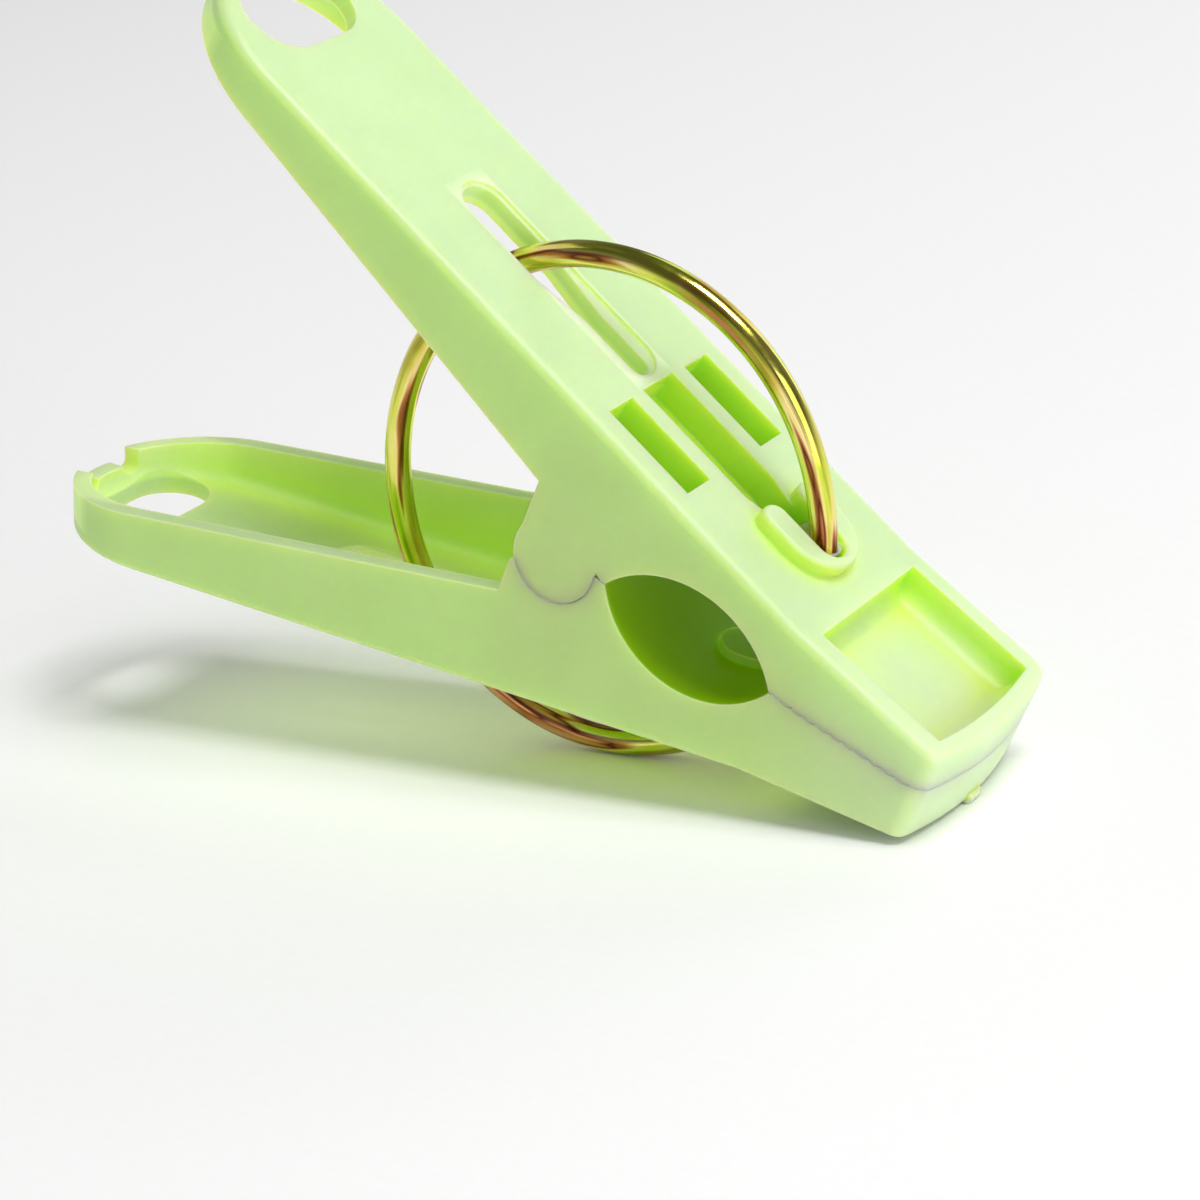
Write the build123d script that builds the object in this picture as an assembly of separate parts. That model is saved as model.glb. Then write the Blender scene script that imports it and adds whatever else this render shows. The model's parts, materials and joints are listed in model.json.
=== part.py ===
from build123d import *
import os
from math import asin, degrees

# A squeeze-handle clothespin: two moulded levers that rock on a round knuckle, held shut by one
# C-shaped ring of round wire. Millimetres.
#
# Every piece is drawn in the jaw frame and laid on the table at the end. In the jaw frame X runs
# along the closed jaws towards the tip, with X = 0 where the jaws meet in front of the eye, Y runs
# across the width, and Z is square to the jaw faces. A lever is always drawn with its outer face
# upwards; the lower one is then mirrored in the jaw plane.

# ---- overall ----
WIDTH = 18.9                  # both levers, across Y
EDGE_ROUND = 0.8              # rounding of the long outer edges
JAW_GAP = 0.08                # clearance between the closed jaw faces

# ---- ring spring ----
WIRE_RADIUS = 1.07
RING_X, RING_Z = -21.56, -0.27
RING_HALF_LENGTH = 19.37      # wire centreline, along X
RING_HALF_HEIGHT = 20.63      # wire centreline, along Z: the ring is sprung open by the levers
UPPER_WIRE_END_Z = 4.5        # where the two ends of the wire stop inside the levers
LOWER_WIRE_END_Z = -6.55
WIRE_CLEARANCE = 0.06         # around the wire, inside the hook holes

# ---- knuckle joint ----
HINGE_X, HINGE_Z = -20.0, -0.7
KNUCKLE_RADIUS = 3.6
SEAT_RADIUS = 3.66
NECK_BACK_X = -23.4           # the back of the solid jaw block, behind the knuckle
SEAT_LIP_Z = -2.9             # top of the seat's back lip
SEAT_LAND_FRONT_X = -15.75    # narrow land between the seat and the eye

# ---- eye: the lens-shaped tunnel that grips a line ----
EYE_FRONT_X, EYE_BACK_X = 0.0, -15.35
EYE_MIDDLE_X = -7.8

# ---- jaw teeth ----
TEETH_BACK_X, TEETH_FRONT_X = 0.9, 12.6
TOOTH_COUNT = 10
TOOTH_DEPTH = 0.24

# ---- tip, seen from above ----
TIP_NOSE_X = 15.0             # on the centre line
TIP_SIDE_X = 13.8             # at the sides
TIP_CORNER_ROUND = 1.3
GATE_LENGTH, GATE_WIDTH, GATE_HEIGHT = 0.45, 1.8, 0.9    # what is left of the moulding gate
GATE_DROP = 0.55              # from the outer face down to the gate's middle

# ---- handle, measured along the outer face ----
HANDLE_END = -69.0
HANDLE_END_LENGTH = 10.9      # length of the half-ellipse that rounds the handle's end
WEB = 1.6                     # thickness under the outer face
WALL = 1.5                    # side walls
CHANNEL_FRONT = -22.7         # the hollow handle ends here, against the jaw block
CHANNEL_ROUND = 1.2           # inside corner between web and walls
END_LIP_HEIGHT = 3.1          # the end wall is lower than the side walls
END_LIP_HALF = 3.2
END_NOTCH_RADIUS = 0.75
HANG_HOLE_AT = -62.9
HANG_HOLE_HALF_WIDTH = 3.6
HANG_HOLE_HALF_LENGTH = 5.85

# ---- features of the outer face, measured along it ----
SLOT_BACK, SLOT_FRONT = -43.2, -22.9        # slot that the ring passes through
SLOT_HALF_WIDTH = 2.0
SLOT_NARROW_HALF_WIDTH = 1.0
SLOT_TAPER_BACK, SLOT_TAPER_FRONT = -34.6, -29.0
SLOT_BORDER = 1.1                           # thicker border round the slot, on the inside
SLOT_BORDER_HEIGHT = 0.6
DISH_HALF_WIDTH = 2.3                       # shallow dish round the slot
DISH_DEPTH = 0.3
DISH_MARGIN = 0.3                           # how far the dish runs past the slot's ends
POCKET_BACK, POCKET_FRONT = -21.8, -13.2    # pair of blind pockets
POCKET_INNER_Y, POCKET_OUTER_Y = 3.84, 7.22
POCKET_FLOOR_Z = 5.4                        # above the jaw plane
GROOVE_BACK = -21.9                         # groove that leads to the hook hole
GROOVE_HALF_WIDTH = 2.2
GROOVE_NARROWS_FROM, GROOVE_NARROWS_TO = -10.6, -8.0
GROOVE_DEPTH = 2.75
HOOK_HALF_WIDTH = 1.45
HOOK_FRONT = -3.8                           # centre of the hook hole's round front end
RIM_CENTRE = -5.35                          # U-shaped rim round the hook hole
RIM_RADIUS = 3.9
RIM_LEG_END = -7.6
RIM_HEIGHT = 1.4
RIM_ROUND = 0.4
BOSS_HALF_WIDTH = 2.1                       # closes the hook hole inside the eye
BOSS_BACK, BOSS_FRONT = -6.1, -4.4
BOSS_HEIGHT = 0.7

# ---- recess in the outer face of the tip, measured along it ----
RECESS_BACK, RECESS_FRONT = 1.4, 13.1
RECESS_HALF_WIDTH = 7.4
RECESS_DEPTH = 2.8
RECESS_ROUND = 1.4
RECESS_BOW = 0.6              # the recess's front edge follows the bowed nose

# ---- the two levers differ a little: the lower jaw is the thicker one ----
UPPER = dict(face_z=5.96, face_slope=0.285, tip_slope=0.19, rim_z=-4.57, rim_slope=0.393,
             eye_height=4.25, tooth_root_z=0.10, tooth_tip_z=0.10 - TOOTH_DEPTH,
             wire_end_z=UPPER_WIRE_END_Z)
LOWER = dict(face_z=7.78, face_slope=0.325, tip_slope=0.212, rim_z=-4.3, rim_slope=0.4405,
             eye_height=4.6, tooth_root_z=JAW_GAP - 0.10,
             tooth_tip_z=JAW_GAP - 0.10 + TOOTH_DEPTH, wire_end_z=-LOWER_WIRE_END_Z)

FAR = 90.0                    # larger than the whole clothespin
OVERRUN = 5.0                 # how far a rough shape or a cutter runs past what it is cut to
TILT_SEARCH = (15.0, 45.0)    # degrees
TILT_STEPS = 24


def face_plane(spec):
    """The outer face of the handle and jaw: local X towards the tip, local Z outwards."""
    slope = spec["face_slope"]
    return Plane(origin=(0, 0, spec["face_z"]), x_dir=(1, 0, -slope), z_dir=(slope, 0, 1))


def tip_plane(spec):
    """The outer face of the tip, which is flatter than the rest."""
    slope = spec["tip_slope"]
    return Plane(origin=(0, 0, spec["face_z"]), x_dir=(1, 0, -slope), z_dir=(slope, 0, 1))


def face_height(spec, x):
    slope = spec["face_slope"] if x < 0 else spec["tip_slope"]
    return spec["face_z"] - slope * x


def rim_height(spec, x):
    return spec["rim_z"] - spec["rim_slope"] * x


def across(profile):
    """Extrude a side profile over the full width."""
    return extrude(Plane.XZ * profile, WIDTH / 2, both=True)


def eye_arc(spec, inset=0.0):
    """The half of the eye that one lever carries, from front to back."""
    return ThreePointArc((EYE_FRONT_X - inset, spec["tooth_root_z"]),
                         (EYE_MIDDLE_X, spec["eye_height"] - inset),
                         (EYE_BACK_X + inset, spec["tooth_root_z"]))


def teeth(spec):
    """A row of shallow scallops across the jaw face, from front to back."""
    pitch = (TEETH_FRONT_X - TEETH_BACK_X) / TOOTH_COUNT
    root, tip = spec["tooth_root_z"], spec["tooth_tip_z"]
    arcs = []
    for i in range(TOOTH_COUNT):
        front = TEETH_FRONT_X - i * pitch
        arcs.append(ThreePointArc((front, root), (front - pitch / 2, tip), (front - pitch, root)))
    return arcs


def side_profile(spec):
    """Outline of a lever from the side, without knuckle or seat."""
    root = spec["tooth_root_z"]
    nose = TIP_NOSE_X + OVERRUN
    back = HANDLE_END - OVERRUN
    edges = [Line((back, face_height(spec, back)), (0, spec["face_z"])),
             Line((0, spec["face_z"]), (nose, face_height(spec, nose))),
             Line((nose, face_height(spec, nose)), (nose, root)),
             Line((nose, root), (TEETH_FRONT_X, root)),
             *teeth(spec),
             Line((TEETH_BACK_X, root), (EYE_FRONT_X, root)),
             eye_arc(spec),
             Line((EYE_BACK_X, root), (SEAT_LAND_FRONT_X, root)),
             Line((SEAT_LAND_FRONT_X, root), (NECK_BACK_X, rim_height(spec, NECK_BACK_X))),
             Line((NECK_BACK_X, rim_height(spec, NECK_BACK_X)), (back, rim_height(spec, back))),
             Line((back, rim_height(spec, back)), (back, face_height(spec, back)))]
    return make_face(edges)


def handle_outline(inset=0.0):
    """Rounded handle end and straight sides, seen square to the outer face."""
    half = WIDTH / 2 - inset
    end = HANDLE_END + inset
    start = HANDLE_END + HANDLE_END_LENGTH
    rounded = Pos(start, 0) * Ellipse(start - end, half)
    return rounded + Pos(start + FAR / 2, 0) * Rectangle(FAR, 2 * half)


def tip_outline():
    """Bowed front edge with rounded corners, seen from above."""
    half = WIDTH / 2
    outline = make_face([ThreePointArc((TIP_SIDE_X, -half), (TIP_NOSE_X, 0), (TIP_SIDE_X, half)),
                         Line((TIP_SIDE_X, half), (-FAR, half)),
                         Line((-FAR, half), (-FAR, -half)),
                         Line((-FAR, -half), (TIP_SIDE_X, -half))])
    corners = outline.vertices().group_by(Axis.X)[-1]
    return fillet(corners, TIP_CORNER_ROUND)


def stadium(back, front, half_width):
    """A slot outline between two end centres on the centre line."""
    return Pos((back + front) / 2, 0) * SlotCenterToCenter(front - back, 2 * half_width)


def slot_outline(grow=0.0):
    """The ring slot: wide where the ring passes, narrow towards the jaw."""
    wide, narrow = SLOT_HALF_WIDTH + grow, SLOT_NARROW_HALF_WIDTH + grow
    taper = make_face(Polyline((SLOT_TAPER_BACK, -wide), (SLOT_TAPER_FRONT, -narrow),
                               (SLOT_TAPER_FRONT, narrow), (SLOT_TAPER_BACK, wide), close=True))
    return (stadium(SLOT_BACK + SLOT_HALF_WIDTH, SLOT_TAPER_BACK - wide, wide)
            + Pos(SLOT_TAPER_BACK - wide / 2, 0) * Rectangle(wide, 2 * wide) + taper
            + stadium(SLOT_TAPER_FRONT, SLOT_FRONT - SLOT_NARROW_HALF_WIDTH, narrow))


def groove_outline():
    """The groove and hook hole in one: it narrows between the legs of the rim."""
    wide, narrow = GROOVE_HALF_WIDTH, HOOK_HALF_WIDTH
    body = make_face(Polyline((GROOVE_BACK, -wide), (GROOVE_NARROWS_FROM, -wide),
                              (GROOVE_NARROWS_TO, -narrow), (HOOK_FRONT, -narrow),
                              (HOOK_FRONT, narrow), (GROOVE_NARROWS_TO, narrow),
                              (GROOVE_NARROWS_FROM, wide), (GROOVE_BACK, wide), close=True))
    return body + Pos(HOOK_FRONT, 0) * Circle(narrow)


def hook_rim(spec):
    """The raised U round the hook hole, open towards the handle."""
    leg_half = (RIM_RADIUS - HOOK_HALF_WIDTH) / 2
    leg_y = HOOK_HALF_WIDTH + leg_half
    u_shape = Pos(RIM_CENTRE, 0) * Circle(RIM_RADIUS)
    u_shape += Pos((RIM_CENTRE + RIM_LEG_END) / 2, 0) * Rectangle(RIM_CENTRE - RIM_LEG_END,
                                                                2 * RIM_RADIUS)
    u_shape -= Pos(RIM_LEG_END - RIM_RADIUS, 0) * Rectangle(2 * RIM_RADIUS, 3 * RIM_RADIUS)
    for side in (-1, 1):
        u_shape += Pos(RIM_LEG_END, side * leg_y) * Circle(leg_half)
    u_shape -= stadium(RIM_LEG_END - RIM_RADIUS, HOOK_FRONT, HOOK_HALF_WIDTH)
    rim = extrude(u_shape, RIM_HEIGHT)
    rim = fillet(rim.edges().group_by(Axis.Z)[-1], RIM_ROUND)
    return face_plane(spec) * (rim + extrude(u_shape, -EDGE_ROUND))


def handle_channel(spec):
    """The space between the handle's two walls, open towards the other lever."""
    inside = handle_outline(WALL) - Pos(CHANNEL_FRONT + FAR / 2, 0) * Rectangle(FAR, FAR)
    channel = extrude(inside, -FAR)
    channel = fillet(channel.edges().group_by(Axis.Z)[-1], CHANNEL_ROUND)
    return face_plane(spec) * Pos(0, 0, -WEB) * channel


def end_lip_cut(spec):
    """Lowers the middle of the handle's end wall and leaves a small notch at each side."""
    length = 2 * (WALL + END_NOTCH_RADIUS)
    cut = Pos(HANDLE_END, 0, -END_LIP_HEIGHT - FAR / 2) * Box(length, 2 * END_LIP_HALF, FAR)
    for side in (-1, 1):
        notch = Cylinder(END_NOTCH_RADIUS, length, rotation=(0, 90, 0))
        cut += Pos(HANDLE_END, side * (END_LIP_HALF - END_NOTCH_RADIUS), -END_LIP_HEIGHT) * notch
    return face_plane(spec) * cut


def eye_boss(spec):
    """The low boss that closes the hook hole on the inside of the eye."""
    prism = extrude(stadium(BOSS_BACK, BOSS_FRONT, BOSS_HALF_WIDTH), face_height(spec, BOSS_BACK))
    lens = make_face([eye_arc(spec, BOSS_HEIGHT),
                      Line((EYE_BACK_X + BOSS_HEIGHT, spec["tooth_root_z"]), (EYE_BACK_X, -1)),
                      Line((EYE_BACK_X, -1), (EYE_FRONT_X, -1)),
                      Line((EYE_FRONT_X, -1), (EYE_FRONT_X - BOSS_HEIGHT, spec["tooth_root_z"]))])
    return prism - across(lens)


def ring_path(upper_end_z, lower_end_z):
    """The wire's centreline: most of an upright ellipse, open at the front."""
    start, end = (degrees(asin((z - RING_Z) / RING_HALF_HEIGHT))
                  for z in (upper_end_z, lower_end_z))
    return Plane.XZ * EllipticalCenterArc((RING_X, RING_Z), RING_HALF_LENGTH, RING_HALF_HEIGHT,
                                          start_angle=start, arc_size=360 + end - start)


def ring(wire_radius, upper_end_z, lower_end_z):
    path = ring_path(upper_end_z, lower_end_z)
    section = Plane(origin=path @ 0, z_dir=path % 0) * Circle(wire_radius)
    return sweep(section, path=path)


def on_outer_face(spec, edge):
    """True for the edges round the outer face, except the crease where the tip begins."""
    ends_on_face = all(abs(v.Z - face_height(spec, v.X)) < 0.01 for v in edge.vertices())
    middle = edge @ 0.5
    crease = abs(middle.X) < 0.01 and edge.length > WIDTH / 2
    return ends_on_face and not crease and abs(middle.Z - face_height(spec, middle.X)) < 0.01


def blank(spec):
    """The outside of a lever with its rounded outer edges."""
    body = across(side_profile(spec))
    body &= face_plane(spec) * extrude(handle_outline(), FAR, both=True)
    body &= extrude(tip_outline(), FAR, both=True)
    return fillet([e for e in body.edges() if on_outer_face(spec, e)], EDGE_ROUND)


def slot_cut(spec):
    """The ring slot and the shallow dish round it."""
    dish = stadium(SLOT_BACK + DISH_HALF_WIDTH - DISH_MARGIN,
                   SLOT_FRONT - DISH_HALF_WIDTH + DISH_MARGIN, DISH_HALF_WIDTH)
    cut = extrude(slot_outline(), -WEB - 2 * SLOT_BORDER_HEIGHT) + extrude(dish, -DISH_DEPTH)
    return face_plane(spec) * cut


def slot_border(spec):
    border = extrude(slot_outline(SLOT_BORDER), -WEB - SLOT_BORDER_HEIGHT)
    return face_plane(spec) * (border - extrude(slot_outline(SLOT_BORDER), -WEB / 2))


def hang_hole(spec):
    outline = SlotCenterToCenter(2 * (HANG_HOLE_HALF_LENGTH - HANG_HOLE_HALF_WIDTH),
                                 2 * HANG_HOLE_HALF_WIDTH, rotation=90)
    return face_plane(spec) * Pos(HANG_HOLE_AT, 0) * extrude(outline, -3 * WEB)


def pockets(spec):
    """Two blind pockets beside the groove, with flat floors square to Z."""
    length, width = POCKET_FRONT - POCKET_BACK, POCKET_OUTER_Y - POCKET_INNER_Y
    outline = Sketch()
    for side in (-1, 1):
        outline += Pos(POCKET_BACK + length / 2,
                       side * (POCKET_INNER_Y + width / 2)) * Rectangle(length, width)
    above_floor = Pos(0, 0, POCKET_FLOOR_Z + FAR / 2) * Box(FAR, FAR, FAR)
    return face_plane(spec) * extrude(outline, -face_height(spec, POCKET_BACK)) & above_floor


def groove(spec):
    return face_plane(spec) * extrude(groove_outline(), -GROOVE_DEPTH)


def tip_recess(spec):
    half = RECESS_HALF_WIDTH
    outline = make_face([ThreePointArc((RECESS_FRONT, -half), (RECESS_FRONT + RECESS_BOW, 0),
                                       (RECESS_FRONT, half)),
                         Line((RECESS_FRONT, half), (RECESS_BACK, half)),
                         Line((RECESS_BACK, half), (RECESS_BACK, -half)),
                         Line((RECESS_BACK, -half), (RECESS_FRONT, -half))])
    recess = extrude(outline, -RECESS_DEPTH)
    recess = fillet(recess.edges().group_by(Axis.Z)[0], RECESS_ROUND)
    return tip_plane(spec) * (recess + extrude(outline, RECESS_DEPTH))


def gate_stub(spec):
    """The torn-off end of the moulding gate, on the middle of the nose."""
    height = face_height(spec, TIP_NOSE_X) - GATE_DROP
    stub = Pos(TIP_NOSE_X, 0, height) * Box(2 * GATE_LENGTH, GATE_WIDTH, GATE_HEIGHT)
    return chamfer(stub.edges().group_by(Axis.X)[-1], GATE_LENGTH / 2)


def lever(spec):
    """A lever drawn as the upper one: outer face up, without knuckle or seat."""
    body = blank(spec) - handle_channel(spec) - end_lip_cut(spec) + slot_border(spec)
    body -= slot_cut(spec) + hang_hole(spec)
    body -= pockets(spec)
    body += hook_rim(spec) + eye_boss(spec)
    return body - groove(spec) - tip_recess(spec)


def knuckle():
    """The round knuckle and the solid neck that carries it."""
    top = rim_height(UPPER, NECK_BACK_X)
    neck = make_face(Polyline((NECK_BACK_X, HINGE_Z), (NECK_BACK_X, top), (HINGE_X, top),
                              (HINGE_X + KNUCKLE_RADIUS, HINGE_Z + KNUCKLE_RADIUS / 2),
                              (HINGE_X + KNUCKLE_RADIUS, HINGE_Z), close=True))
    return across(neck + Pos(HINGE_X, HINGE_Z) * Circle(KNUCKLE_RADIUS))


def seat_block():
    """The block of the lower lever in which the knuckle rocks, drawn outer face up."""
    root = LOWER["tooth_root_z"]
    back = rim_height(LOWER, NECK_BACK_X)
    block = make_face(Polyline((SEAT_LAND_FRONT_X, root), (HINGE_X, root),
                               (NECK_BACK_X, -SEAT_LIP_Z), (NECK_BACK_X, back),
                               (HINGE_X, back), (SEAT_LAND_FRONT_X, root + SEAT_RADIUS),
                               close=True))
    return across(block)


def upper_lever():
    return lever(UPPER) + knuckle() - ring(WIRE_RADIUS + WIRE_CLEARANCE,
                                           UPPER_WIRE_END_Z - WIRE_CLEARANCE,
                                           LOWER_WIRE_END_Z)


def lower_lever():
    seat = across(Pos(HINGE_X, -HINGE_Z) * Circle(SEAT_RADIUS))
    body = mirror(lever(LOWER) + gate_stub(LOWER) + seat_block() - seat, about=Plane.XY)
    return body - ring(WIRE_RADIUS + WIRE_CLEARANCE, UPPER_WIRE_END_Z,
                       LOWER_WIRE_END_Z + WIRE_CLEARANCE)


def tilt_on_table(lever_shape, ring_shape):
    """How far the clothespin leans, tip down, when it lies on its ring and the tip's edge."""
    low, high = TILT_SEARCH
    for _ in range(TILT_STEPS):
        tilt = (low + high) / 2
        lever_bottom, ring_bottom = ((Rot(0, tilt, 0) * shape).bounding_box().min.Z
                                     for shape in (lever_shape, ring_shape))
        low, high = (tilt, high) if lever_bottom > ring_bottom else (low, tilt)
    return tilt


def lay_on_table(shapes):
    """Tilt the assembly and set it down, with the origin under the middle of its length."""
    tilt = tilt_on_table(shapes["lower_lever"], shapes["ring_spring"])
    tilted = {name: Rot(0, tilt, 0) * shape for name, shape in shapes.items()}
    boxes = [shape.bounding_box() for shape in tilted.values()]
    back, front = min(box.min.X for box in boxes), max(box.max.X for box in boxes)
    bottom = min(box.min.Z for box in boxes)
    move = Pos(-(back + front) / 2, 0, -bottom)
    hinge = (move * Rot(0, tilt, 0) * Pos(HINGE_X, 0, HINGE_Z)).position
    print(f"tilt {tilt:.4f} deg, moved by {move.position}, hinge at {hinge}")
    return {name: move * shape for name, shape in tilted.items()}


os.makedirs("parts", exist_ok=True)
clothespin = {"upper_lever": upper_lever(), "lower_lever": lower_lever(),
              "ring_spring": ring(WIRE_RADIUS, UPPER_WIRE_END_Z, LOWER_WIRE_END_Z)}
for name, shape in lay_on_table(clothespin).items():
    export_step(shape, f"parts/{name}.step")
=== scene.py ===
import json
import math

import bpy
from mathutils import Matrix, Vector


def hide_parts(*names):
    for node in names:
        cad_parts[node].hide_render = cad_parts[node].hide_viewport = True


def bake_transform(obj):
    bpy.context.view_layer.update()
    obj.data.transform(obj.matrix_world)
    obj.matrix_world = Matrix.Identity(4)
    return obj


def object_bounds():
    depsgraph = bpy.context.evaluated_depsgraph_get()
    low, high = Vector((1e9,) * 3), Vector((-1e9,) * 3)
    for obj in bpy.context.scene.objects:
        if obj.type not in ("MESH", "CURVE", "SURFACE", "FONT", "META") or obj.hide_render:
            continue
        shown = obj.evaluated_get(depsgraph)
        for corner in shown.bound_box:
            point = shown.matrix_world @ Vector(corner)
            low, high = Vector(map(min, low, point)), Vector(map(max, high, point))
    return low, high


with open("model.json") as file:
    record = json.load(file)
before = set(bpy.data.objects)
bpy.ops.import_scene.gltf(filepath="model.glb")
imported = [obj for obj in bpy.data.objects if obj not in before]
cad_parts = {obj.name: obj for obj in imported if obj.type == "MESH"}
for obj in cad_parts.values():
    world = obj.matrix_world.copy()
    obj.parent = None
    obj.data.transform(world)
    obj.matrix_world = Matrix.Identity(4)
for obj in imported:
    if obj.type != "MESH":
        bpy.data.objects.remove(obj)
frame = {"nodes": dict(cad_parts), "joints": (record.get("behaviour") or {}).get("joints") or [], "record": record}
cad_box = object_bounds()

MM = 0.001

# ---- the jaw frame: X towards the tip, Z square to the jaw faces, origin in front of the eye ----
HINGE_IN_JAW = Vector((-20.0, 0.0, -0.7)) * MM
TIP_PALE_AT = 20.0 * MM       # painted light pales the open faces from the eye's front towards this X

# ---- the eye, a little larger than its tunnel ----
EYE_CENTRE = Vector((-7.7, 0.0, -0.2)) * MM
EYE_HALF_LENGTH, EYE_HALF_HEIGHT = 8.0 * MM, 4.75 * MM

# ---- the levers' outer faces: height where the jaws meet, slope down towards the tip ----
UPPER_FACE_HEIGHT, UPPER_FACE_SLOPE = 5.96 * MM, 0.285
LOWER_FACE_HEIGHT, LOWER_FACE_SLOPE = 7.78 * MM, 0.325

# ---- boxes round a lever's ring slot and round its handle's hollow, measured from the outer face ----
SLOT_X, SLOT_DEPTH = -33.0 * MM, 0.9 * MM
SLOT_HALF_SIZE = Vector((11.2, 2.6, 2.2)) * MM
CHANNEL_X, CHANNEL_DEPTH = -45.0 * MM, 5.6 * MM
CHANNEL_HALF_SIZE = Vector((24.0, 8.4, 4.3)) * MM

# ---- the ring spring, drawn in the jaw frame ----
WIRE_RADIUS = 1.07 * MM
RING_CENTRE = Vector((-21.56, 0.0, -0.27)) * MM
RING_HALF_LENGTH, RING_HALF_HEIGHT = 19.37 * MM, 20.63 * MM
RING_UPPER_END, RING_LOWER_END = 4.5 * MM, -6.55 * MM
RING_STEPS, WIRE_SIDES = 320, 32

# ---- colours, with painted shade, painted light, painted highlights and painted glow ----
BLACK, WHITE = (0, 0, 0), (1, 1, 1)
PAINTED_SHADE_BY_OPENNESS = ((0.10, (0.550, 0.800, 0.010)), (0.42, (0.640, 0.940, 0.020)),     # painted shade saturating the hollows, then the plastic's own colour where open
               (0.66, (0.660, 0.860, 0.200)), (0.90, (0.550, 0.710, 0.390)))
# painted light in the eye's tunnel: brighter where it is deep and in shade, darker where it is open
EYE_PAINTED_LIGHT_BY_OPENNESS = ((0.35, (0.520, 0.960, 0.000)), (0.75, (0.150, 0.285, 0.000)))
# painted light: the slot walls made pale, standing for light that comes through the plastic
SLOT_PAINTED_LIGHT = (0.740, 0.940, 0.560)
# painted shade on the faces that look sideways
SIDE_PAINTED_SHADE = (0.560, 0.790, 0.150)
# painted light on the open faces of the nose
TIP_PAINTED_LIGHT = (0.690, 0.850, 0.530)
# painted highlight on the rounded edges
EDGE_HIGHLIGHT = (0.86, 0.98, 0.66)
EYE_PAINTED_GLOW = (0.045, 0.095, 0.000)                        # painted glow in the eye, for light that comes through the plastic
# painted glow in the handles' hollows, for light that comes through the plastic
CHANNEL_PAINTED_GLOW = (0.130, 0.160, 0.030)
FILM_AND_PAINTED_REFLECTIONS = ((0.30, (0.620, 0.220, 0.110)), (0.38, (0.420, 0.460, 0.050)),            # on the wire: iridescent film colours, with painted reflections as the near-black and cream streaks
        (0.45, (0.800, 0.760, 0.140)), (0.51, (0.980, 0.800, 0.350)),
        (0.55, (0.560, 0.210, 0.080)), (0.59, (0.110, 0.024, 0.012)),
        (0.64, (0.700, 0.300, 0.120)), (0.72, (0.960, 0.560, 0.420)))
FILM_PATCHES = ((0.36, (0.72, 0.50, 0.34)), (0.52, WHITE), (0.68, (0.85, 1.0, 0.55)))

# ---- studio ----
FLOOR_SIZE = 1.6
LIGHTS = (("key", (0.62, -0.12, 1.33), 0.60, 15.6),     # name, place from the middle, size, power
          ("fill", (-0.70, -0.10, 0.55), 0.6, 0.7),
          ("front", (0.62, -0.20, 0.14), 0.4, 1.5),
          ("side", (0.20, -0.80, 0.12), 0.5, 0.3),
          ("back", (0.10, 0.80, 0.38), 0.7, 1.7))
GLOW_PLACE = Vector((-30.0, 0.0, -1.0)) * MM            # in the frame of the lower lever's outer face
GLOW_LENGTH, GLOW_WIDTH = 66 * MM, 14 * MM
GLOW_POWER = 0.0009
SKY = ((0.0, 0.82), (0.12, 0.50), (0.30, 0.17), (1.0, 0.17))    # (height, brightness)
CAMERA_PLACE = Vector((0.15934, -0.22177, 0.11140))
CAMERA_TURN = (69.576, 6.563, 31.895)                   # degrees, XYZ
CAMERA_LENS = 108.1
CAMERA_SHIFT_Y = 0.01
CAMERA_CLIP_START = 0.01


def jaw_to_row():
    """The matrix from the jaw frame to the row frame, from the record's hinge and jaw mount."""
    mounts = {m["name"]: m for m in frame["record"]["mounts"]}
    forward = Vector(mounts["jaw_grip"]["axis"])
    turn = Matrix.Rotation(math.atan2(-forward.z, forward.x), 4, "Y")
    hinge = Vector(frame["joints"][0]["pos_m"])
    return Matrix.Translation(hinge - turn @ HINGE_IN_JAW) @ turn


JAW = jaw_to_row()


def face_frame(height, slope):
    """The frame of a lever's outer face: X along it towards the tip."""
    return JAW @ Matrix.Translation((0, 0, height)) @ Matrix.Rotation(math.atan(slope), 4, "Y")


UPPER_FACE = face_frame(UPPER_FACE_HEIGHT, UPPER_FACE_SLOPE)
LOWER_FACE = face_frame(-LOWER_FACE_HEIGHT, -LOWER_FACE_SLOPE)
FACES = ((UPPER_FACE, -1), (LOWER_FACE, 1))             # with the side on which the lever lies


# ---------------------------------------------------------------- materials

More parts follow.
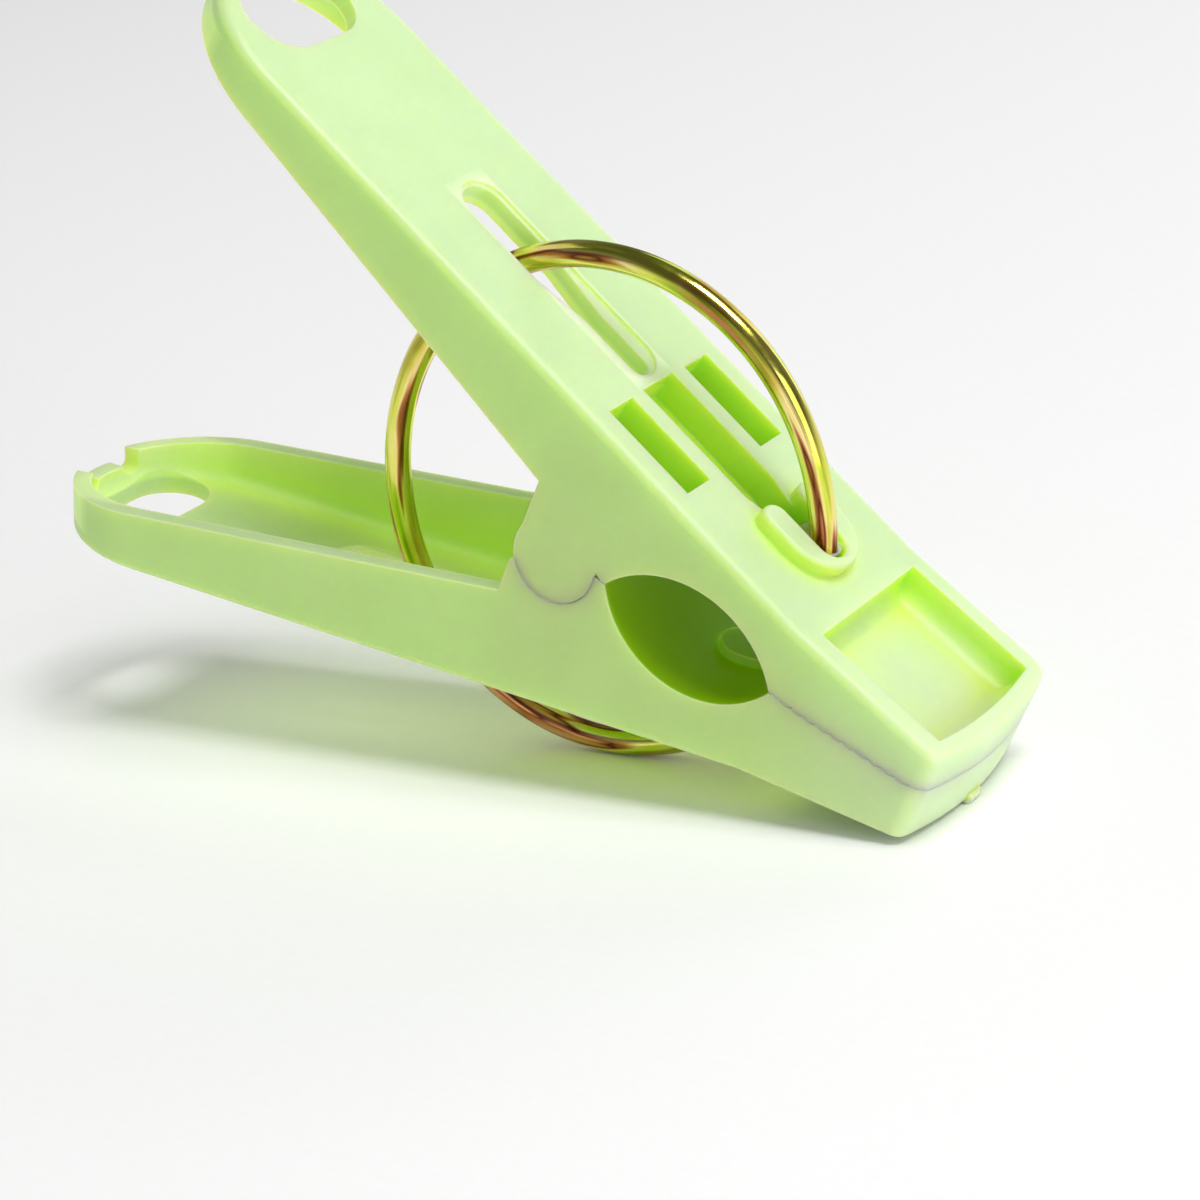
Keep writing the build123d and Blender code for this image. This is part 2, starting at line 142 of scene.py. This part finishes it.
class Nodes:
    """A short way to add and join shader nodes."""

    def __init__(self, name):
        self.material = bpy.data.materials.new(name)
        self.material.use_nodes = True
        self.tree = self.material.node_tree
        self.shader = self.tree.nodes["Principled BSDF"]

    def add(self, kind, values=None, **settings):
        node = self.tree.nodes.new(kind)
        for key, value in settings.items():
            setattr(node, key, value)
        for key, value in (values or {}).items():
            node.inputs[key].default_value = value
        return node

    def join(self, source, target):
        self.tree.links.new(source, target)

    def drive(self, source, name):
        """Feeds an input of the shader from a node's output."""
        self.join(source, self.shader.inputs[name])

    def set_shader(self, values):
        for name, value in values.items():
            self.shader.inputs[name].default_value = value

    def ramp(self, factor, stops):
        """A colour ramp with (position, colour) stops."""
        node = self.add("ShaderNodeValToRGB")
        elements = node.color_ramp.elements
        while len(elements) < len(stops):
            elements.new(1.0)
        for element, (position, colour) in zip(elements, stops):
            element.position = position
            element.color = (*colour, 1.0)
        self.join(factor, node.inputs["Fac"])
        return node.outputs["Color"]

    def mix(self, factor, first, second, blend="MIX"):
        """Mixes two colours; each of the three is a number, a colour or a node's output."""
        node = self.add("ShaderNodeMix", data_type="RGBA", blend_type=blend)
        for socket, value in zip((node.inputs["Factor"], node.inputs[6], node.inputs[7]),
                                 (factor, first, second)):
            if isinstance(value, bpy.types.NodeSocket):
                self.join(value, socket)
            elif isinstance(value, (int, float)):
                socket.default_value = value
            else:
                socket.default_value = (*value, 1.0)
        return node.outputs[2]

    def noise(self, scale, detail):
        node = self.add("ShaderNodeTexNoise", {"Scale": scale, "Detail": detail})
        self.join(self.place(), node.inputs["Vector"])
        return node.outputs["Fac"]

    def bump(self, height, strength, distance, normal=None):
        node = self.add("ShaderNodeBump", {"Strength": strength, "Distance": distance})
        self.join(height, node.inputs["Height"])
        if normal:
            self.join(normal, node.inputs["Normal"])
        return node.outputs["Normal"]

    def place(self):
        """The place on the object, in metres."""
        return self.add("ShaderNodeTexCoord").outputs["Object"]

    def place_in(self, local, unit):
        """The place in a local frame, each coordinate divided by the unit's (0 drops it)."""
        to_local = local.inverted()
        turned = self.add("ShaderNodeMapping", {"Location": to_local.to_translation(),
                                                "Rotation": to_local.to_euler()})
        self.join(self.place(), turned.inputs["Vector"])
        scaled = self.add("ShaderNodeVectorMath", operation="MULTIPLY")
        self.join(turned.outputs["Vector"], scaled.inputs[0])
        scaled.inputs[1].default_value = [1 / u if u else 0 for u in unit]
        return scaled.outputs["Vector"]

    def length(self, vector):
        node = self.add("ShaderNodeVectorMath", operation="LENGTH")
        self.join(vector, node.inputs[0])
        return node.outputs["Value"]

    def math(self, operation, first, second=0.0):
        node = self.add("ShaderNodeMath", operation=operation)
        for socket, value in zip(node.inputs, (first, second)):
            if isinstance(value, bpy.types.NodeSocket):
                self.join(value, socket)
            else:
                socket.default_value = value
        return node.outputs["Value"]

    def split(self, vector):
        node = self.add("ShaderNodeSeparateXYZ")
        self.join(vector, node.inputs["Vector"])
        return node.outputs["X"], node.outputs["Y"], node.outputs["Z"]


def grey(level):
    return (level, level, level)


def sideways(n):
    """How far the surface faces sideways, along Y: 0 to 1."""
    normal = n.split(n.add("ShaderNodeNewGeometry").outputs["True Normal"])
    return n.math("ABSOLUTE", normal[1])


def inside_eye(n):
    """1 on the walls of the eye's tunnel, 0 outside it."""
    reach = n.length(n.place_in(JAW @ Matrix.Translation(EYE_CENTRE),
                                (EYE_HALF_LENGTH, 0, EYE_HALF_HEIGHT)))
    near = n.ramp(reach, ((0.98, WHITE), (1.0, BLACK)))
    wall = n.ramp(sideways(n), ((0.5, WHITE), (0.6, BLACK)))
    return n.mix(1.0, near, wall, "MULTIPLY")


def inside_box(n, face, centre, half_size, full=1.0):
    """The full value inside a box that lies square to a lever's outer face, 0 away from it."""
    x, y, z = n.split(n.place_in(face @ Matrix.Translation(centre), half_size))
    reach = n.math("MAXIMUM", n.math("ABSOLUTE", x),
                   n.math("MAXIMUM", n.math("ABSOLUTE", y), n.math("ABSOLUTE", z)))
    return n.ramp(reach, ((0.90, grey(full)), (1.0, BLACK)))


def body_colour(n, openness, eye):
    """Painted shade makes the hollows saturated and the sides yellower; painted light makes the tip and the slots
    paler and lightens the eye.
    """
    # painted shade: the colour grows saturated in the hollows
    colour = n.ramp(openness, PAINTED_SHADE_BY_OPENNESS)
    # painted light on the walls of each lever's ring slot
    for face, inward in FACES:
        slot = inside_box(n, face, Vector((SLOT_X, 0, inward * SLOT_DEPTH)), SLOT_HALF_SIZE, 0.8)
        colour = n.mix(slot, colour, SLOT_PAINTED_LIGHT)
    # painted shade on the faces that look sideways
    side = n.ramp(sideways(n), ((0.6, BLACK), (0.9, grey(0.5))))
    colour = n.mix(side, colour, SIDE_PAINTED_SHADE)
    # painted light on the open faces of the nose, growing towards the tip
    along, _, _ = n.split(n.place_in(JAW, (TIP_PALE_AT, 1, 1)))
    tip = n.ramp(along, ((0.0, BLACK), (0.75, grey(0.6))))
    shown = n.ramp(openness, ((0.5, BLACK), (0.9, WHITE)))
    colour = n.mix(n.mix(1.0, tip, shown, "MULTIPLY"), colour, TIP_PAINTED_LIGHT)
    # painted light in the eye's tunnel
    return n.mix(eye, colour, n.ramp(openness, EYE_PAINTED_LIGHT_BY_OPENNESS))


def paint_glow(n, eye):
    """A painted glow for the light that comes through the thin walls of the eye and of the handles' hollows."""
    glow = n.mix(eye, BLACK, EYE_PAINTED_GLOW)
    for face, inward in FACES:
        channel = inside_box(n, face, Vector((CHANNEL_X, 0, inward * CHANNEL_DEPTH)), CHANNEL_HALF_SIZE)
        glow = n.mix(channel, glow, CHANNEL_PAINTED_GLOW)
    return glow


def paint_edge_highlight(n, colour):
    """Paints a highlight on the rounded edges, where light leaves the plastic."""
    edge = n.add("ShaderNodeBevel", {"Radius": 0.32 * MM}, samples=4)
    agree = n.add("ShaderNodeVectorMath", operation="DOT_PRODUCT")
    n.join(edge.outputs["Normal"], agree.inputs[0])
    n.join(n.add("ShaderNodeNewGeometry").outputs["Normal"], agree.inputs[1])
    highlight_mask = n.ramp(agree.outputs["Value"], ((0.80, WHITE), (0.995, BLACK)))
    return n.mix(highlight_mask, colour, n.mix(0.35, colour, EDGE_HIGHLIGHT))


def lime_plastic():
    """Translucent moulded polypropylene, pale where it is open; painted shade saturates its hollows."""
    n = Nodes("lime_plastic")
    hollow = n.add("ShaderNodeAmbientOcclusion", {"Distance": 7.0 * MM}, samples=6, only_local=True)
    openness = hollow.outputs["AO"]
    eye = inside_eye(n)
    clouds = n.ramp(n.noise(140.0, 3.0), ((0.35, (0.955, 0.965, 0.93)), (0.65, WHITE)))
    # the colour carries painted shade, painted light and a painted edge highlight
    colour = paint_edge_highlight(n, body_colour(n, openness, eye))
    n.drive(n.mix(1.0, colour, clouds, "MULTIPLY"), "Base Color")
    n.drive(n.ramp(eye, ((0.0, grey(0.5)), (1.0, grey(0.1)))), "Specular IOR Level")
    # the emission is a painted glow in the eye and in the handles' hollows
    n.drive(paint_glow(n, eye), "Emission Color")

    soft_edge = n.add("ShaderNodeBevel", {"Radius": 0.22 * MM}, samples=4)
    grain = n.bump(n.noise(5200.0, 2.0), 0.10, 0.05 * MM, soft_edge.outputs["Normal"])
    n.drive(n.bump(n.noise(260.0, 1.0), 0.12, 0.25 * MM, grain), "Normal")
    n.set_shader({"Emission Strength": 1.0, "Roughness": 0.42, "IOR": 1.49, "Subsurface Weight": 0.95,
                  "Subsurface Radius": (0.75, 1.0, 0.18), "Subsurface Scale": 3.2 * MM})
    return n.material


def wire_streaks(n, around, across):
    """Noise drawn out along the wire: cells round the ring and across the wire are set apart."""
    ring = JAW @ Matrix.Translation(RING_CENTRE)
    x, y, z = n.split(n.place_in(ring, (RING_HALF_LENGTH, RING_HALF_HEIGHT, RING_HALF_HEIGHT)))
    reach = n.length(n.place_in(ring, (RING_HALF_LENGTH, 0, RING_HALF_HEIGHT)))
    spot = n.add("ShaderNodeCombineXYZ")
    for value, factor, socket in ((x, around, "X"), (z, around, "Y"), (reach, across, "Z")):
        n.join(n.math("MULTIPLY", value, factor), spot.inputs[socket])
    noise = n.add("ShaderNodeTexNoise", {"Scale": 1.0, "Detail": 2.0}, noise_dimensions="4D")
    n.join(spot.outputs["Vector"], noise.inputs["Vector"])
    n.join(n.math("MULTIPLY", y, across), noise.inputs["W"])
    return noise.outputs["Fac"]


def passivated_steel():
    """Zinc plated wire with a yellow, iridescent passivation, streaked along the wire with film colours and
    painted reflections.
    """
    n = Nodes("passivated_steel")
    # iridescent film colours, with painted reflection streaks, dark and cream, drawn along the wire
    film_and_reflections = n.ramp(wire_streaks(n, 1.4, 17.0), FILM_AND_PAINTED_REFLECTIONS)
    patches = n.ramp(n.noise(150.0, 2.0), FILM_PATCHES)
    n.drive(n.mix(0.8, film_and_reflections, patches, "MULTIPLY"), "Base Color")
    rough = n.add("ShaderNodeMapRange", {"From Min": 0.3, "From Max": 0.7,
                                         "To Min": 0.10, "To Max": 0.20})
    n.join(n.noise(900.0, 2.0), rough.inputs["Value"])
    n.drive(rough.outputs["Result"], "Roughness")
    n.drive(n.bump(wire_streaks(n, 5.0, 90.0), 0.18, 0.02 * MM), "Normal")
    n.set_shader({"Metallic": 1.0})
    return n.material


def floor_paper():
    n = Nodes("floor_paper")
    n.drive(n.ramp(n.noise(900.0, 2.0), ((0.3, grey(0.955)), (0.7, grey(0.970)))), "Base Color")
    n.set_shader({"Roughness": 0.75})
    return n.material


# ---------------------------------------------------------------- pieces

def give(piece, material):
    piece.data.materials.clear()
    piece.data.materials.append(material)


def add_mesh(name, vertices, faces, material):
    """A new object of the scene with one material."""
    mesh = bpy.data.meshes.new(name)
    mesh.from_pydata(vertices, [], faces)
    mesh.update()
    piece = bpy.data.objects.new(name, mesh)
    bpy.context.scene.collection.objects.link(piece)
    give(piece, material)
    return piece


def ring_angle(height):
    return math.asin((height - RING_CENTRE.z) / RING_HALF_HEIGHT)


def ring_piece(material):
    """The wire: a round tube along most of an upright ellipse, with flat ends."""
    start = ring_angle(RING_UPPER_END)
    sweep = 2 * math.pi - start + ring_angle(RING_LOWER_END)
    vertices, faces = [], []
    for i in range(RING_STEPS + 1):
        angle = start + sweep * i / RING_STEPS
        outward = Vector((RING_HALF_HEIGHT * math.cos(angle), 0, RING_HALF_LENGTH * math.sin(angle)))
        outward.normalize()
        centre = RING_CENTRE + Vector((RING_HALF_LENGTH * math.cos(angle), 0,
                                       RING_HALF_HEIGHT * math.sin(angle)))
        for k in range(WIRE_SIDES):
            turn = 2 * math.pi * k / WIRE_SIDES
            spoke = outward * math.cos(turn) + Vector((0, 1, 0)) * math.sin(turn)
            vertices.append(JAW @ (centre + spoke * WIRE_RADIUS))
    for i in range(RING_STEPS):
        for k in range(WIRE_SIDES):
            a, b = i * WIRE_SIDES + k, i * WIRE_SIDES + (k + 1) % WIRE_SIDES
            faces.append((a, a + WIRE_SIDES, b + WIRE_SIDES, b))
    last = RING_STEPS * WIRE_SIDES
    faces.append(tuple(range(WIRE_SIDES)))
    faces.append(tuple(last + k for k in reversed(range(WIRE_SIDES))))
    piece = add_mesh("spring_wire", vertices, faces, material)
    piece.data.shade_smooth()
    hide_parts("ring_spring")
    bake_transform(piece)


# ---------------------------------------------------------------- studio

def floor():
    half = FLOOR_SIZE / 2
    corners = [(-half, -half, 0), (half, -half, 0), (half, half, 0), (-half, half, 0)]
    add_mesh("floor", corners, [(0, 1, 2, 3)], floor_paper())


def add_lamp(name, power):
    data = bpy.data.lights.new(name, "AREA")
    data.energy = power
    lamp = bpy.data.objects.new(name, data)
    bpy.context.scene.collection.objects.link(lamp)
    return lamp


def soft_light(name, place, size, power):
    """A square area light that points at the middle of the clothespin."""
    lamp = add_lamp(name, power)
    lamp.data.shape = "SQUARE"
    lamp.data.size = size
    low, high = cad_box
    middle = (Vector(low) + Vector(high)) / 2
    lamp.location = middle + Vector(place)
    lamp.rotation_euler = (-Vector(place)).to_track_quat("-Z", "Y").to_euler()


def plastic_glow():
    """The yellow-green light that the translucent lower lever lets through to the floor."""
    lamp = add_lamp("glow", GLOW_POWER)
    lamp.data.shape = "RECTANGLE"
    lamp.data.size, lamp.data.size_y = GLOW_LENGTH, GLOW_WIDTH
    lamp.data.color = (0.72, 1.0, 0.08)
    lamp.matrix_world = LOWER_FACE @ Matrix.Translation(GLOW_PLACE)
    lamp.visible_camera = False
    lamp.visible_glossy = False


def sky():
    """A pale room: bright round the horizon, so that low views have a light backdrop."""
    world = bpy.data.worlds.new("room")
    bpy.context.scene.world = world
    world.use_nodes = True
    tree = world.node_tree
    place = tree.nodes.new("ShaderNodeTexCoord")
    split = tree.nodes.new("ShaderNodeSeparateXYZ")
    ramp = tree.nodes.new("ShaderNodeValToRGB")
    tree.links.new(place.outputs["Generated"], split.inputs["Vector"])
    tree.links.new(split.outputs["Z"], ramp.inputs["Fac"])
    elements = ramp.color_ramp.elements
    while len(elements) < len(SKY):
        elements.new(1.0)
    for element, (height, level) in zip(elements, SKY):
        element.position = height
        element.color = (*grey(level), 1.0)
    tree.links.new(ramp.outputs["Color"], tree.nodes["Background"].inputs["Color"])


def camera():
    data = bpy.data.cameras.new("camera")
    data.lens = CAMERA_LENS
    data.shift_y = CAMERA_SHIFT_Y
    data.clip_start = CAMERA_CLIP_START
    piece = bpy.data.objects.new("camera", data)
    bpy.context.scene.collection.objects.link(piece)
    piece.location = CAMERA_PLACE
    piece.rotation_euler = [math.radians(a) for a in CAMERA_TURN]
    bpy.context.scene.camera = piece


plastic = lime_plastic()
for lever in ("upper_lever", "lower_lever"):
    give(frame["nodes"][lever], plastic)
ring_piece(passivated_steel())
floor()
sky()
for light in LIGHTS:
    soft_light(*light)
plastic_glow()
camera()
bpy.context.scene.view_settings.view_transform = "Standard"
